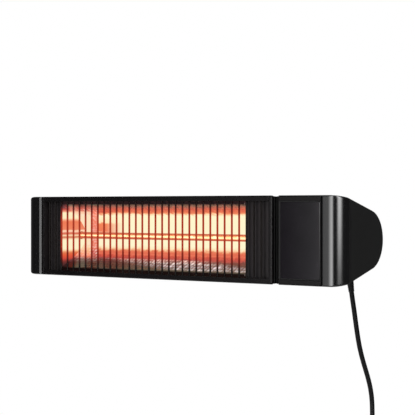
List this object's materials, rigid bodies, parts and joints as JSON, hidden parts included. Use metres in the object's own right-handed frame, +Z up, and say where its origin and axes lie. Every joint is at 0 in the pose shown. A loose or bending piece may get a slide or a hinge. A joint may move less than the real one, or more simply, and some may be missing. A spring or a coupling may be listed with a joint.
{
  "type": "electric bar heater",
  "caption": "Long infrared bar heater for a wall: guarded lamp section that tilts at a ringed joint, glass-fronted control head, rounded end caps, bracket and mains lead.",
  "frame": {"origin": "back face of the wall plate, at the middle of the bar's length and height", "axes": "+X along the bar to the viewer's right, +Y into the wall, +Z up"},
  "size_m": [0.6189, 0.157, 0.4798],
  "materials": {
    "housing_paint": "fine satin black powder coat on extruded aluminium",
    "cap_gloss": "black, polished round the corner, fine matte on the flat side",
    "black_plastic": "moulded, lightly grained",
    "smoked_glass": "smoked, polished",
    "polished_aluminium": "polished and dimpled",
    "guard_wire": "dark heat-proof coating on steel wire",
    "zinc_steel": "zinc plated",
    "bracket_paint": "matte black powder coat on sheet steel",
    "quartz": "clear quartz, glowing",
    "tungsten": "white-hot wire coil",
    "ceramic": "unglazed white ceramic",
    "circuit_board": "green solder mask",
    "relay_blue": "moulded",
    "pale_nylon": "natural nylon",
    "cord_rubber": "smooth black sheath",
    "plug_plastic": "moulded black",
    "nickel": "nickel plated brass"
  },
  "bodies": {
    "head_and_bracket": {"wall_bracket": "bracket_paint", "head_saddle": "black_plastic", "tilt_screw": "black_plastic", "arm_washer": "pale_nylon", "pivot_tube": "zinc_steel", "pivot_nut": "zinc_steel", "friction_washer": "zinc_steel", "joint_ring_head": "black_plastic", "head_end_plate": "zinc_steel", "head_housing": "housing_paint", "glass_frame": "black_plastic", "control_glass": "smoked_glass", "control_board": "circuit_board", "display": "black_plastic", "infrared_receiver": "black_plastic", "power_relay_lower": "relay_blue", "power_relay_upper": "relay_blue", "terminal_block": "pale_nylon", "switch_body": "black_plastic", "right_end_cap": "cap_gloss", "cable_gland": "cord_rubber", "gland_nut": "plug_plastic", "cord_free": "cord_rubber", "cord_coil": "cord_rubber", "cord_tie": "pale_nylon", "plug_body": "plug_plastic", "plug_pin_left": "nickel", "plug_pin_right": "nickel"},
    "lamp_section": {"lamp_housing": "housing_paint", "left_end_cap": "cap_gloss", "lamp_frame_left": "housing_paint", "lamp_frame_right": "housing_paint", "guard_1": "guard_wire", "guard_2": "guard_wire", "guard_3": "guard_wire", "reflector": "polished_aluminium", "reflector_end_left": "polished_aluminium", "reflector_end_right": "polished_aluminium", "lamp_tube": "quartz", "lamp_filament": "tungsten", "lamp_base_left": "ceramic", "lamp_base_right": "ceramic", "lamp_holder_left": "ceramic", "lamp_holder_right": "ceramic", "end_cover_left": "housing_paint", "end_cover_right": "housing_paint", "thermal_cutout": "black_plastic", "joint_ring_lamp": "black_plastic", "left_pivot_bush": "pale_nylon"},
    "rocker": {"switch_rocker": "cap_gloss"}
  },
  "joints": [
    {"name": "lamp_tilt", "type": "hinge", "parent": "head_and_bracket", "child": "lamp_section", "pos_m": [-0.04, -0.079, 0], "axis": [1, 0, 0], "range_deg": [0, 45]},
    {"name": "mains_switch", "type": "hinge", "parent": "head_and_bracket", "child": "rocker", "pos_m": [0.23025, -0.10724, -0.05145], "axis": [0, 0.9698, 0.244], "range_deg": [0, 18]}
  ]
}
